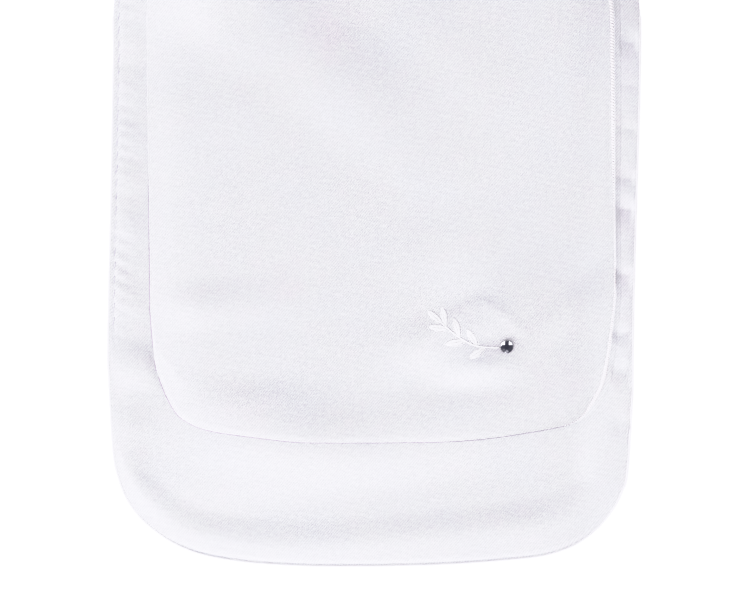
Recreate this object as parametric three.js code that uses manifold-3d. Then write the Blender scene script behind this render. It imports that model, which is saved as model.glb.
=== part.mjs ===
import * as THREE from "three";
import { mergeVertices } from "three/addons/utils/BufferGeometryUtils.js";
import Module from "manifold-3d";

// Ready-tied cravat of white satin twill, lying face up, with its neck band standing on its lower edge.
// Millimetres. X runs across the tails, +Y from their lower ends towards the neck, +Z up.

const wasm = await Module();
wasm.setup();

// Driving sizes
const tailThick = 1.2;
const layerGap = 0.3;
const bandThick = 2.0;
const bandHeight = 44;
const bandHalfX = 61;
const bandHalfY = 63.5;
const bandOverlap = 40;
const closureLength = 34;
const closureHeight = 24;
const closureThick = 1.5;
const lyingLength = 240;
const frontTailStart = 33.8;
const bendRadius = 14;
const tailTopZ = 34;
const pleatCount = 3;
const pleatHeight = 4;
const pleatStart = 150;
const pleatFull = 226;
const pleatEase = 0.25;
const knotWall = 1.3;
const knotLowZ = 12;
const knotShoulderZ = 33;
const knotHighZ = 43.3;
const knotHalfLow = 27;
const knotHalfHigh = 29.5;
const knotEase = 1.6;
const knotSeamGap = 0.6;
const knotSquareness = 0.72;
const knotCrown = 1.4;
const knotFold = { depth: 0.6, rise: 11, slant: 52 };
const stoneRadius = 1.95;
const stoneHeight = 1.5;
const stoneX = 36.1;
const stoneAt = 59.8;
const threadThick = 0.5;

// Places worked out from them
const totalLength = lyingLength + 2 * bandHalfY;
const lowerEndY = -totalLength / 2;
const faceY = lowerEndY + lyingLength;
const bandCentreY = faceY + bandHalfY;
const straightLength = lyingLength - layerGap - bendRadius;
const bendLength = (bendRadius * Math.PI) / 2;
const tailLength = straightLength + bendLength + tailTopZ - bendRadius;

// Half widths of the tails on each side of the centre line, by the length from the back tail's lower end
const backWidths = [
  { at: 0, left: 72.5, right: 70.5 },
  { at: 60, left: 72.5, right: 70.5 },
  { at: 100, left: 71.7, right: 71.4 },
  { at: 138, left: 71, right: 72.3 },
  { at: 156, left: 70.6, right: 71.8 },
  { at: 170, left: 66.8, right: 67.6 },
  { at: 184, left: 59.2, right: 59.6 },
  { at: 204, left: 45, right: 45 },
  { at: 222, left: 32.6, right: 32.6 },
  { at: 238, left: 24.6, right: 24.6 },
  { at: 248, left: 23.2, right: 23.2 },
  { at: 275, left: 22.8, right: 22.8 },
];
const frontWidths = [
  { at: 0, left: 61, right: 65.9 },
  { at: 72, left: 60.9, right: 65.9 },
  { at: 100, left: 61.3, right: 65.6 },
  { at: 138, left: 61.8, right: 65.4 },
  { at: 156, left: 61.5, right: 64.8 },
  { at: 170, left: 58.6, right: 61 },
  { at: 184, left: 52.2, right: 53.6 },
  { at: 204, left: 40.4, right: 40.6 },
  { at: 222, left: 29.6, right: 29.6 },
  { at: 238, left: 22.9, right: 22.9 },
  { at: 248, left: 21.8, right: 21.8 },
  { at: 275, left: 21.4, right: 21.4 },
];

// Rise of each rounded lower edge above its lowest point, by the share of the half width
const backLowerEdge = [
  { at: 0, left: 0, right: 0 },
  { at: 0.2, left: 0, right: 0.3 },
  { at: 0.35, left: 0.4, right: 0.8 },
  { at: 0.5, left: 1.3, right: 1.6 },
  { at: 0.65, left: 3.3, right: 2.8 },
  { at: 0.75, left: 6.2, right: 4.9 },
  { at: 0.82, left: 9.5, right: 7.7 },
  { at: 0.88, left: 13.4, right: 11.5 },
  { at: 0.93, left: 18.5, right: 16.2 },
  { at: 0.96, left: 24.2, right: 20.6 },
  { at: 0.98, left: 31.7, right: 25.9 },
  { at: 1, left: 56, right: 48 },
];
const frontLowerEdge = [
  { at: 0, left: 0, right: 0 },
  { at: 0.2, left: 0, right: 0.1 },
  { at: 0.35, left: 0.2, right: 0.4 },
  { at: 0.5, left: 1.2, right: 1.3 },
  { at: 0.65, left: 2.4, right: 2.8 },
  { at: 0.75, left: 3.5, right: 4 },
  { at: 0.82, left: 5.1, right: 5.2 },
  { at: 0.88, left: 7.8, right: 7.9 },
  { at: 0.93, left: 12.9, right: 12.8 },
  { at: 0.96, left: 17.7, right: 17.9 },
  { at: 0.98, left: 22.2, right: 26.5 },
  { at: 1, left: 36, right: 40 },
];

// Columns of the tails' grids, as shares of the half width, and the steps between their rows
const columnShares = [0, 0.11, 0.22, 0.33, 0.44, 0.55, 0.66, 0.75, 0.82, 0.88, 0.93, 0.96, 0.98, 1];
const backRows = [
  { to: 8, step: 4 },
  { to: 40, step: 8 },
  { to: 152, step: 14 },
  { to: straightLength, step: 12 },
  { to: straightLength + bendLength, step: 5.5 },
  { to: tailLength, step: 13.5 },
];
const frontRows = [
  { to: 8, step: 4 },
  { to: 120, step: 10.2 },
  { to: straightLength - frontTailStart, step: 12 },
  { to: straightLength + bendLength - frontTailStart, step: 5.5 },
  { to: tailLength - frontTailStart, step: 13.5 },
];

// Soft folds: centre, half length along the fold, half width across it, turn from +X, and height
const sharedFolds = [
  { x: -24, at: 142, reach: 62, spread: 21, turn: -36, lift: 1.5 },
  { x: 22, at: 172, reach: 66, spread: 22, turn: 68, lift: 1.4 },
  { x: -46, at: 178, reach: 52, spread: 18, turn: 118, lift: 1.6 },
  { x: 52, at: 166, reach: 48, spread: 15, turn: 100, lift: 1.2 },
];
const frontFolds = [
  { x: 29.4, at: 63.2, reach: 15, spread: 10.5, turn: 3, lift: 0.8 },
  { x: -22, at: 84, reach: 34, spread: 14, turn: 4, lift: 0.5 },
  { x: 14, at: 50, reach: 52, spread: 8, turn: 2, lift: 0.4 },
];
const hem = { inset: 6.5, spread: 5.5, lift: 0.5 };

// Embroidered sprig beside the stone: places from the stone's centre, in the cloth's own plane
const stemPoints = [
  { x: -2.6, at: -0.2 },
  { x: -8.5, at: 0.4 },
  { x: -13.5, at: 3 },
  { x: -17.5, at: 6.4 },
];
const stemWidth = 0.7;
const leafLength = 5.2;
const leafWidth = 2.1;
const leafPlaces = [
  { along: 0.2, turn: 42 },
  { along: 0.3, turn: -46 },
  { along: 0.52, turn: 40 },
  { along: 0.62, turn: -42 },
  { along: 0.84, turn: 36 },
  { along: 0.9, turn: -38 },
  { along: 0.99, turn: 0 },
];

const satin = () => new THREE.MeshStandardMaterial({ color: 0xf1f0f4, roughness: 0.55, metalness: 0 });
const thread = () => new THREE.MeshStandardMaterial({ color: 0xefe9ee, roughness: 0.45, metalness: 0 });
const tape = () => new THREE.MeshStandardMaterial({ color: 0xe9e9ea, roughness: 0.9, metalness: 0 });
const glass = () => new THREE.MeshStandardMaterial({ color: 0x9ea2b4, roughness: 0.08, metalness: 0.6 });

// Small helpers
const clamp01 = (v) => Math.min(1, Math.max(0, v));
const smooth = (low, high, v) => {
  const t = clamp01((v - low) / (high - low));
  return t * t * (3 - 2 * t);
};
const bump = (q) => (Math.abs(q) < 1 ? (1 - q * q) ** 2 : 0);
const radians = (degrees) => (degrees * Math.PI) / 180;

// Reads one column of a table at a place between its rows, on a smooth curve through them
function read(table, column, at) {
  const last = table.length - 1;
  const k = Math.min(last - 1, Math.max(0, table.findIndex((row) => row.at > at) - 1));
  const index = at >= table[last].at ? last - 1 : k;
  const slope = (i) => {
    const a = table[Math.max(0, i - 1)];
    const b = table[Math.min(last, i + 1)];
    return (b[column] - a[column]) / (b.at - a.at);
  };
  const from = table[index];
  const to = table[index + 1];
  const span = to.at - from.at;
  const t = clamp01((at - from.at) / span);
  const h = t * t * (3 - 2 * t);
  const bendFrom = t * (1 - t) ** 2 * span * slope(index);
  const bendTo = t * t * (t - 1) * span * slope(index + 1);
  return from[column] + (to[column] - from[column]) * h + bendFrom + bendTo;
}

const sideOf = (x) => (x < 0 ? "left" : "right");

// The band's front face curves back from its middle; the tails follow it where they stand
const sagitta = (x) => bandHalfY * (1 - Math.sqrt(1 - Math.min(0.7, Math.abs(x) / bandHalfX) ** 2));

// A point at a height above the surface that the tails lie on, which is the table and then the band
function tailPoint(x, at, lift) {
  const turned = Math.min(Math.PI / 2, Math.max(0, (at - straightLength) / bendRadius));
  const risen = Math.max(0, at - straightLength - bendLength);
  const along = Math.min(at, straightLength) + bendRadius * Math.sin(turned);
  const follow = sagitta(x) * smooth(straightLength - 60, straightLength, at);
  const y = lowerEndY + along + follow - lift * Math.sin(turned);
  const z = bendRadius * (1 - Math.cos(turned)) + risen + lift * Math.cos(turned);
  return new THREE.Vector3(x, y, z);
}

function foldsAt(table, x, at) {
  return table.reduce((sum, f) => {
    const turn = radians(f.turn);
    const along = (x - f.x) * Math.cos(turn) + (at - f.at) * Math.sin(turn);
    const across = (at - f.at) * Math.cos(turn) - (x - f.x) * Math.sin(turn);
    return sum + f.lift * bump(along / f.reach) * bump(across / f.spread);
  }, 0);
}

function pleatAt(x, at) {
  const share = x / read(backWidths, sideOf(x), at);
  const wave = 1 - Math.cos(Math.PI * pleatCount * (share + 1));
  return (pleatHeight / 2) * wave * smooth(pleatStart, pleatFull, at);
}

// Rise of the seam allowance that is folded in along the edge, strongest at the rounded lower end
function hemAt(tail, x, at) {
  const side = sideOf(x);
  const half = read(tail.widths, side, at);
  const share = clamp01(Math.abs(x) / half);
  const step = 0.02;
  const under = read(tail.lowerEdge, side, share);
  const steep = (under - read(tail.lowerEdge, side, Math.max(0, share - step))) / (step * half);
  const fromEnd = Math.max(0, at - tail.start - under) / Math.hypot(1, steep);
  const fromEdge = Math.min(fromEnd, half - Math.abs(x));
  const strength = 1 - 0.5 * smooth(30, 60, at - tail.start);
  const fade = 1 - smooth(pleatStart, pleatFull, at);
  return hem.lift * strength * fade * bump((fromEdge - hem.inset) / hem.spread);
}

const backTail = { widths: backWidths, lowerEdge: backLowerEdge, rows: backRows, start: 0, easeOver: 130 };
const frontTail = {
  widths: frontWidths,
  lowerEdge: frontLowerEdge,
  rows: frontRows,
  start: frontTailStart,
  easeOver: 95,
};

const softAt = (x, at) => pleatAt(x, at) + foldsAt(sharedFolds, x, at);
backTail.lift = (x, at) => tailThick / 2 + softAt(x, at) + hemAt(backTail, x, at);

// The front tail lies on the back one: the steeper the pleat, the higher it has to sit to stay clear
frontTail.lift = (x, at) => {
  const reach = 0.5;
  const slopeX = (softAt(x + reach, at) - softAt(x - reach, at)) / (2 * reach);
  const slopeY = (softAt(x, at + reach) - softAt(x, at - reach)) / (2 * reach);
  const gap = layerGap + pleatEase * smooth(pleatStart, pleatFull, at);
  const clear = (tailThick + gap) * Math.hypot(1, slopeX, slopeY);
  const own = foldsAt(frontFolds, x, at) + hemAt(frontTail, x, at) + hem.lift * 0.5;
  return tailThick / 2 + softAt(x, at) + clear + own * (1 - smooth(pleatStart, pleatFull, at));
};

// Row lengths from a table of steps
function rowLengths(table) {
  const rows = [0];
  for (const part of table) {
    const from = rows[rows.length - 1];
    const count = Math.max(1, Math.round((part.to - from) / part.step));
    for (let k = 1; k <= count; k++) rows.push(from + ((part.to - from) * k) / count);
  }
  return rows;
}

// Middle surface of a tail: its columns fan out from the rounded lower edge and straighten above it
function tailGrid(tail) {
  const shares = [...columnShares.slice(1).reverse().map((s) => -s), ...columnShares];
  return rowLengths(tail.rows).map((row) =>
    shares.map((share) => {
      const side = sideOf(share);
      const ease = (1 - Math.min(1, row / tail.easeOver)) ** 2;
      const at = tail.start + row + read(tail.lowerEdge, side, Math.abs(share)) * ease;
      const x = share * read(tail.widths, side, at);
      return tailPoint(x, at, tail.lift(x, at));
    }),
  );
}

// Closed wall of even thickness about a grid of points; rows run along it, columns across, left to right
function wallGeometry(grid, thickness) {
  const rows = grid.length;
  const columns = grid[0].length;
  const positions = [];
  const normalAt = (r, c) => {
    const up = grid[Math.min(rows - 1, r + 1)][c].clone().sub(grid[Math.max(0, r - 1)][c]);
    const across = grid[r][Math.min(columns - 1, c + 1)].clone().sub(grid[r][Math.max(0, c - 1)]);
    return across.cross(up).normalize();
  };
  for (const side of [0.5, -0.5]) {
    for (let r = 0; r < rows; r++) {
      for (let c = 0; c < columns; c++) {
        const p = grid[r][c].clone().addScaledVector(normalAt(r, c), thickness * side);
        positions.push(p.x, p.y, p.z);
      }
    }
  }
  const top = (r, c) => r * columns + c;
  const under = (r, c) => rows * columns + r * columns + c;
  const faces = [];
  const quad = (a, b, c, d) => faces.push(a, b, c, a, c, d);
  for (let r = 0; r < rows - 1; r++) {
    for (let c = 0; c < columns - 1; c++) {
      quad(top(r, c), top(r, c + 1), top(r + 1, c + 1), top(r + 1, c));
      quad(under(r, c), under(r + 1, c), under(r + 1, c + 1), under(r, c + 1));
    }
    quad(top(r, 0), top(r + 1, 0), under(r + 1, 0), under(r, 0));
    const e = columns - 1;
    quad(top(r, e), under(r, e), under(r + 1, e), top(r + 1, e));
  }
  for (let c = 0; c < columns - 1; c++) {
    const e = rows - 1;
    quad(top(0, c), under(0, c), under(0, c + 1), top(0, c + 1));
    quad(top(e, c), top(e, c + 1), under(e, c + 1), under(e, c));
  }
  const geometry = new THREE.BufferGeometry();
  geometry.setAttribute("position", new THREE.Float32BufferAttribute(positions, 3));
  geometry.setIndex(faces);
  return geometry;
}

// Neck band: its ends overlap at the back, the inner end lying inside the outer one and the closure strip
const closureOffset = bandThick / 2 + layerGap + closureThick / 2;
const innerEndOffset = closureOffset * 2;
const overlapAngle = bandOverlap / 2 / bandHalfX;

function bandPoint(angle, inward, z) {
  const x = (bandHalfX - bandThick / 2 - inward) * Math.sin(angle);
  const y = bandCentreY + (bandHalfY - bandThick / 2 - inward) * Math.cos(angle);
  return new THREE.Vector3(x, y, z);
}

function neckBand() {
  const steps = 72;
  const levels = 3;
  const from = -overlapAngle;
  const to = 2 * Math.PI + overlapAngle;
  const moveIn = { from: to - 2.2 * overlapAngle - 0.9, to: to - 2.2 * overlapAngle };
  const grid = [];
  for (let level = 0; level <= levels; level++) {
    const z = (bandHeight * level) / levels;
    const row = [];
    for (let k = 0; k <= steps; k++) {
      const angle = from + ((to - from) * k) / steps;
      row.push(bandPoint(angle, innerEndOffset * smooth(moveIn.from, moveIn.to, angle), z));
    }
    grid.push(row);
  }
  return wallGeometry(grid, bandThick);
}

function closureStrip() {
  const steps = 8;
  const half = closureLength / 2 / bandHalfX;
  const grid = [-0.5, 0.5].map((level) => {
    const z = bandHeight / 2 + closureHeight * level;
    const angles = Array.from({ length: steps + 1 }, (_, k) => half * ((2 * k) / steps - 1));
    return angles.map((angle) => bandPoint(angle, closureOffset, z));
  });
  return wallGeometry(grid, closureThick);
}

// Knot: a crowned cover that is sewn to the band's face round its sides and top, open below for the tails
const knotDepth = 2 * tailThick + pleatHeight + pleatEase + knotEase + knotWall / 2;
const knotShares = [0, 0.13, 0.27, 0.41, 0.55, 0.68, 0.8, 0.9, 1];
const knotRises = [0, 0.14, 0.3, 0.48, 0.66, 0.84];
const knotTurns = [0, 15, 30, 45, 60, 75, 90];

// Quarter of a rounded square: how far across and how far out it is at a share of its run
const square = (share) => {
  const angle = (share * Math.PI) / 2;
  return { across: Math.sin(angle) ** knotSquareness, out: Math.cos(angle) ** knotSquareness };
};

function knotPoint(share, rise, turn) {
  const dome = square(turn / 90);
  const side = square(Math.abs(share));
  const z = knotLowZ + (knotShoulderZ - knotLowZ) * rise + (knotHighZ - knotShoulderZ) * dome.across;
  const half = knotHalfLow + (knotHalfHigh - knotHalfLow) * rise - 2 * dome.across;
  const spread = side.across + (Math.abs(share) - side.across) * dome.across ** 3;
  const x = Math.sign(share) * half * spread;
  const wave = Math.sin(2 * Math.PI * (z / knotFold.rise + x / knotFold.slant));
  const crown = knotCrown * Math.sin(Math.PI * (0.15 + 0.7 * rise)) + knotFold.depth * wave;
  const out = knotSeamGap + (knotDepth + crown * (1 - share * share)) * side.out * dome.out;
  return new THREE.Vector3(x, faceY + sagitta(x) - out, z);
}

function knotCover() {
  const shares = [...knotShares.slice(1).reverse().map((s) => -s), ...knotShares];
  const rows = [...knotRises.map((rise) => [rise, 0]), ...knotTurns.map((turn) => [1, turn])];
  return wallGeometry(
    rows.map(([rise, turn]) => shares.map((share) => knotPoint(share, rise, turn))),
    knotWall,
  );
}

// Stone: an eight-sided cut with a flat table, a ring of slanted facets and a flat back
function cutStone() {
  const profile = [
    new THREE.Vector2(0, 0),
    new THREE.Vector2(stoneRadius, 0),
    new THREE.Vector2(stoneRadius, stoneHeight * 0.25),
    new THREE.Vector2(stoneRadius * 0.58, stoneHeight),
    new THREE.Vector2(0, stoneHeight),
  ];
  return new THREE.LatheGeometry(profile, 8).rotateX(Math.PI / 2);
}

// A solid from a geometry and back, for the joins of the embroidery
function solidOf(geometry) {
  const bare = geometry.clone();
  bare.deleteAttribute("normal");
  bare.deleteAttribute("uv");
  const merged = mergeVertices(bare, 1e-4);
  return new wasm.Manifold(
    new wasm.Mesh({
      numProp: 3,
      vertProperties: merged.attributes.position.array,
      triVerts: new Uint32Array(merged.index.array),
    }),
  );
}

function geometryOf(solid) {
  const mesh = solid.getMesh();
  const geometry = new THREE.BufferGeometry();
  geometry.setAttribute("position", new THREE.BufferAttribute(mesh.vertProperties, 3));
  geometry.setIndex(new THREE.BufferAttribute(mesh.triVerts, 1));
  return geometry;
}

function leafShape() {
  const shape = new THREE.Shape();
  shape.moveTo(-0.5, 0);
  shape.quadraticCurveTo(leafLength * 0.45, leafWidth, leafLength, 0);
  shape.quadraticCurveTo(leafLength * 0.45, -leafWidth, -0.5, 0);
  return shape;
}

// Sprig: leaves on a curved stem, drawn flat and then laid on the cloth
function sprig() {
  const stem = new THREE.SplineCurve(stemPoints.map((p) => new THREE.Vector2(p.x, p.at)));
  const flat = { depth: threadThick, bevelEnabled: false, curveSegments: 4 };
  const outline = (side) =>
    Array.from({ length: 9 }, (_, k) => {
      const tangent = stem.getTangent(k / 8);
      const outward = new THREE.Vector2(-tangent.y, tangent.x).multiplyScalar((side * stemWidth) / 2);
      return stem.getPoint(k / 8).add(outward);
    });
  const stemShape = new THREE.Shape([...outline(-1), ...outline(1).reverse()]);
  let solid = solidOf(new THREE.ExtrudeGeometry(stemShape, flat));
  for (const place of leafPlaces) {
    const at = stem.getPoint(place.along);
    const turn = stem.getTangent(place.along).angle() + radians(place.turn);
    const leaf = new THREE.ExtrudeGeometry(leafShape(), flat).rotateZ(turn).translate(at.x, at.y, 0);
    solid = solid.add(solidOf(leaf));
  }
  const geometry = geometryOf(solid);
  const position = geometry.attributes.position;
  for (let k = 0; k < position.count; k++) {
    const x = stoneX + position.getX(k);
    const at = stoneAt + position.getY(k);
    const lift = frontTail.lift(x, at) + tailThick / 2 + layerGap + position.getZ(k);
    position.setXYZ(k, ...tailPoint(x, at, lift).toArray());
  }
  return geometry;
}

// Assembly
const cravat = new THREE.Group();

function addPiece(name, geometry, material) {
  const mesh = new THREE.Mesh(geometry, material);
  mesh.name = name;
  cravat.add(mesh);
  return mesh;
}

addPiece("back_tail", wallGeometry(tailGrid(backTail), tailThick), satin());
addPiece("front_tail", wallGeometry(tailGrid(frontTail), tailThick), satin());
addPiece("embroidery", sprig(), thread());
const stone = addPiece("crystal", cutStone(), glass());
const stoneLift = frontTail.lift(stoneX, stoneAt) + tailThick / 2 + layerGap;
stone.position.copy(tailPoint(stoneX, stoneAt, stoneLift));
addPiece("knot", knotCover(), satin());
addPiece("neck_band", neckBand(), satin());
addPiece("closure_strip", closureStrip(), tape());

// The origin is under the middle of the whole cravat, on the surface that it lies on
const extent = new THREE.Box3().setFromObject(cravat);
const middle = extent.getCenter(new THREE.Vector3());
cravat.position.set(-middle.x, -middle.y, -extent.min.z);

export default cravat;
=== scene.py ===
# Ready-tied cravat of white satin twill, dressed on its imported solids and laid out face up.
# Cloth tables and sizes are in millimetres, Blender's objects in metres.
import math

import bpy
import numpy as np
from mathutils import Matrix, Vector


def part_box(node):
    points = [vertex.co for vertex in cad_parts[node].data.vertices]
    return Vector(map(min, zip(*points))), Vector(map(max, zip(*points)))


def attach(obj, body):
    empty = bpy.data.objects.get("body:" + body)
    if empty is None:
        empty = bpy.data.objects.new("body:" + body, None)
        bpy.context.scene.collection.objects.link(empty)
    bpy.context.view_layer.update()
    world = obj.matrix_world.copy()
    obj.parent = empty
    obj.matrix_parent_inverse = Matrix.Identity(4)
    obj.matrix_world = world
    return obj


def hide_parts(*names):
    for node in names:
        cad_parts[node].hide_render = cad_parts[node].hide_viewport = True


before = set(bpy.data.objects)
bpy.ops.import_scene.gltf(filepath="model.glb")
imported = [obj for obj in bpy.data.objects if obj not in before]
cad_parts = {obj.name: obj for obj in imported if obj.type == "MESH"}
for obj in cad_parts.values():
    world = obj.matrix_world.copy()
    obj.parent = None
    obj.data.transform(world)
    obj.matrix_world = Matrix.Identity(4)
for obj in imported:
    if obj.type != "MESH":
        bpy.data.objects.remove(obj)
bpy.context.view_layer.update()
stoneLow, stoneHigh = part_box("crystal")
print("frame: loaded")

# Camera: straight down through a long lens
camera = {"lens": 220.0, "frameWidth": 204.0, "lookAt": (0.4, -110.9), "cameraAbove": 3.0}

cameraData = bpy.data.cameras.new("camera")
cameraData.lens = camera["lens"]
cameraData.sensor_width = 36.0
cameraData.sensor_fit = "HORIZONTAL"
cameraData.clip_start = 0.05
cameraData.clip_end = 20.0
cameraObject = bpy.data.objects.new("camera", cameraData)
cameraReach = camera["lens"] / 36.0 * camera["frameWidth"] + camera["cameraAbove"]
cameraObject.location = (camera["lookAt"][0] / 1000, camera["lookAt"][1] / 1000, cameraReach / 1000)
bpy.context.collection.objects.link(cameraObject)
bpy.context.scene.camera = cameraObject

# Studio: a white floor, a soft dome that is darker overhead, and one large low light from the lower left
studio = {
    "floorSize": 4.0,
    "floorZ": -0.0002,
    "floorTone": 0.94,
    "floorGlow": 1.2,
    "domeStrength": (0.81, 0.405),
    "domeRise": (0.86, 0.97),
    "domeColor": (1.0, 1.0, 1.0),
    "keyColor": (1.0, 1.0, 0.985),
    "keyPower": 19.8,
    "keySize": 1.4,
    "keyDistance": 1.6,
    "keyElevation": 32.0,
    "keyTurn": 232.0,
}

# Tone of the picture, steep and faintly purple in the shade: the level given, then red, green and blue
toneCurve = [
    (0, 0, 0, 0),
    (100, 86, 84, 90),
    (160, 141, 138, 146),
    (200, 183.5, 180, 189),
    (215, 204, 200.5, 209.5),
    (222, 216.5, 213, 222),
    (228, 227.1, 224.7, 232.2),
    (232, 232.4, 231, 236.8),
    (237, 237.9, 237, 241.9),
    (243, 242.8, 241.9, 246.8),
    (250, 246.6, 245.7, 250.4),
    (260, 249.6, 248.8, 252.8),
    (275, 251.5, 250.8, 254),
    (300, 253, 252.3, 254.6),
    (309, 255, 255, 255),
]
toneGain = (1.004, 1.0, 1.02)


def toLinear(level):
    share = level / 255
    return share / 12.92 if share < 0.04045 else ((share + 0.055) / 1.055) ** 2.4


def feed(tree, node, inputs):
    # Gives a node its inputs by name or number: another node's output is linked, a value is written
    for name, value in inputs.items():
        socket = node.inputs[name]
        if isinstance(value, bpy.types.NodeSocket):
            tree.links.new(value, socket)
        else:
            socket.default_value = (*value, 1) if socket.type == "RGBA" else value
    return node


def newNode(tree, kind, inputs, **settings):
    node = tree.nodes.new(kind)
    for name, value in settings.items():
        setattr(node, name, value)
    return feed(tree, node, inputs)


def outputOf(tree, kind, inputs, output=0, **settings):
    return newNode(tree, kind, inputs, **settings).outputs[output]


def newMaterial(name, finish, look):
    # A finish gives the shader's inputs for a look, from the texture coordinates
    material = bpy.data.materials.new(name)
    material.use_nodes = True
    tree = material.node_tree
    place = newNode(tree, "ShaderNodeTexCoord", {}).outputs
    feed(tree, tree.nodes["Principled BSDF"], finish(tree, place, look))
    return material


def setTone(settings):
    settings.view_transform = "Standard"
    settings.look = "None"
    settings.use_curve_mapping = True
    mapping = settings.curve_mapping
    whitest = toLinear(toneCurve[-1][0] * max(toneGain))
    mapping.white_level = (whitest, whitest, whitest)
    for channel, gain in enumerate(toneGain):
        for row in toneCurve[1:-1]:
            mapping.curves[channel].points.new(toLinear(row[0] * gain) / whitest, toLinear(row[channel + 1]))
    mapping.update()


def buildDome():
    world = bpy.data.worlds.new("dome")
    bpy.context.scene.world = world
    world.use_nodes = True
    tree = world.node_tree
    tree.nodes.clear()
    place = outputOf(tree, "ShaderNodeTexCoord", {}, "Generated")
    rise = {"Value": outputOf(tree, "ShaderNodeSeparateXYZ", {0: place}, "Z")}
    rise.update(zip(("From Min", "From Max"), studio["domeRise"]))
    rise.update(zip(("To Min", "To Max"), studio["domeStrength"]))
    strength = outputOf(tree, "ShaderNodeMapRange", rise, "Result", interpolation_type="SMOOTHSTEP")
    glow = outputOf(tree, "ShaderNodeBackground", {"Color": studio["domeColor"], "Strength": strength})
    newNode(tree, "ShaderNodeOutputWorld", {"Surface": glow})


def buildKeyLight():
    light = bpy.data.lights.new("keyLight", "AREA")
    light.shape = "DISK"
    light.size = studio["keySize"]
    light.energy = studio["keyPower"]
    light.color = studio["keyColor"]
    keyObject = bpy.data.objects.new("keyLight", light)
    turn, rise = math.radians(studio["keyTurn"]), math.radians(studio["keyElevation"])
    level, tall = studio["keyDistance"] * math.cos(rise), studio["keyDistance"] * math.sin(rise)
    lookAtY = camera["lookAt"][1] / 1000
    keyObject.location = (level * math.cos(turn), lookAtY + level * math.sin(turn), tall)
    keyObject.rotation_euler = (math.pi / 2 - rise, 0, turn + math.pi / 2)
    bpy.context.collection.objects.link(keyObject)


def floorFinish(tree, place, look):
    # The glow keeps the paper white in the picture without lighting the cloth from below
    seen = outputOf(tree, "ShaderNodeLightPath", {}, "Is Camera Ray")
    glow = outputOf(tree, "ShaderNodeMath", {0: seen, 1: look["floorGlow"]}, operation="MULTIPLY")
    tones = {"Base Color": (look["floorTone"],) * 3, "Emission Color": (1, 1, 1), "Emission Strength": glow}
    return {**tones, "Roughness": 0.9, "Specular IOR Level": 0.1}


def buildFloor():
    half, z = studio["floorSize"] / 2, studio["floorZ"]
    mesh = bpy.data.meshes.new("floor")
    corners = [(-half, -half, z), (half, -half, z), (half, half, z), (-half, half, z)]
    mesh.from_pydata(corners, [], [(0, 1, 2, 3)])
    mesh.materials.append(newMaterial("paleFloor", floorFinish, studio))
    floor = bpy.data.objects.new("floor", mesh)
    bpy.context.collection.objects.link(floor)


setTone(bpy.context.scene.view_settings)
buildDome()
buildKeyLight()
buildFloor()
print("studio: camera, dome, key light and floor")

# Shape of the cloth, as the solids have it
cut = {
    "tailThick": 1.2,
    "layerGap": 0.3,
    "bandThick": 2.0,
    "bandHeight": 44.0,
    "bandHalfX": 61.0,
    "bandHalfY": 63.5,
    "bandOverlap": 40.0,
    "closureLength": 34.0,
    "closureHeight": 24.0,
    "closureThick": 1.5,
    "lyingLength": 240.0,
    "frontTailStart": 33.8,
    "bendRadius": 14.0,
    "tailTopZ": 34.0,
    "pleatCount": 3,
    "pleatHeight": 4.0,
    "pleatStart": 150.0,
    "pleatFull": 226.0,
    "pleatEase": 0.25,
    "lyingRows": 160.0,
    "stoneX": 36.1,
    "stoneAt": 59.8,
}
lowerEndY = -(cut["lyingLength"] + 2 * cut["bandHalfY"]) / 2
faceY = lowerEndY + cut["lyingLength"]
bandCentreY = faceY + cut["bandHalfY"]
straightLength = cut["lyingLength"] - cut["layerGap"] - cut["bendRadius"]
bendLength = cut["bendRadius"] * math.pi / 2
tailLength = straightLength + bendLength + cut["tailTopZ"] - cut["bendRadius"]

# The frame's origin is under the middle of the cravat: its stone gives the small shift from the tables
stoneMiddle = [(stoneLow[axis] + stoneHigh[axis]) * 500 for axis in (0, 1)]
frameShift = np.array([stoneMiddle[0] - cut["stoneX"], stoneMiddle[1] - lowerEndY - cut["stoneAt"], 0.0])

# Half widths of the tails by the length from the lower end, and the rise of their rounded lower edges
backWidths = {
    "at": [0, 60, 100, 138, 156, 170, 184, 204, 222, 238, 248, 275],
    "left": [72.5, 72.5, 71.7, 71, 70.6, 66.8, 59.2, 45, 32.6, 24.6, 23.2, 22.8],
    "right": [70.5, 70.5, 71.4, 72.3, 71.8, 67.6, 59.6, 45, 32.6, 24.6, 23.2, 22.8],
}
frontWidths = {
    "at": [0, 72, 100, 138, 156, 170, 184, 204, 222, 238, 248, 275],
    "left": [61, 60.9, 61.3, 61.8, 61.5, 58.6, 52.2, 40.4, 29.6, 22.9, 21.8, 21.4],
    "right": [65.9, 65.9, 65.6, 65.4, 64.8, 61, 53.6, 40.6, 29.6, 22.9, 21.8, 21.4],
}
lowerPlaces = [0, 0.2, 0.35, 0.5, 0.65, 0.75, 0.82, 0.88, 0.93, 0.96, 0.98, 1]
backLowerEdge = {
    "at": lowerPlaces,
    "left": [0, 0, 0.4, 1.3, 3.3, 6.2, 9.5, 13.4, 18.5, 24.2, 31.7, 56],
    "right": [0, 0.3, 0.8, 1.6, 2.8, 4.9, 7.7, 11.5, 16.2, 20.6, 25.9, 48],
}
frontLowerEdge = {
    "at": lowerPlaces,
    "left": [0, 0, 0.2, 1.2, 2.4, 3.5, 5.1, 7.8, 12.9, 17.7, 22.2, 36],
    "right": [0, 0.1, 0.4, 1.3, 2.8, 4, 5.2, 7.9, 12.8, 17.9, 26.5, 40],
}

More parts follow.
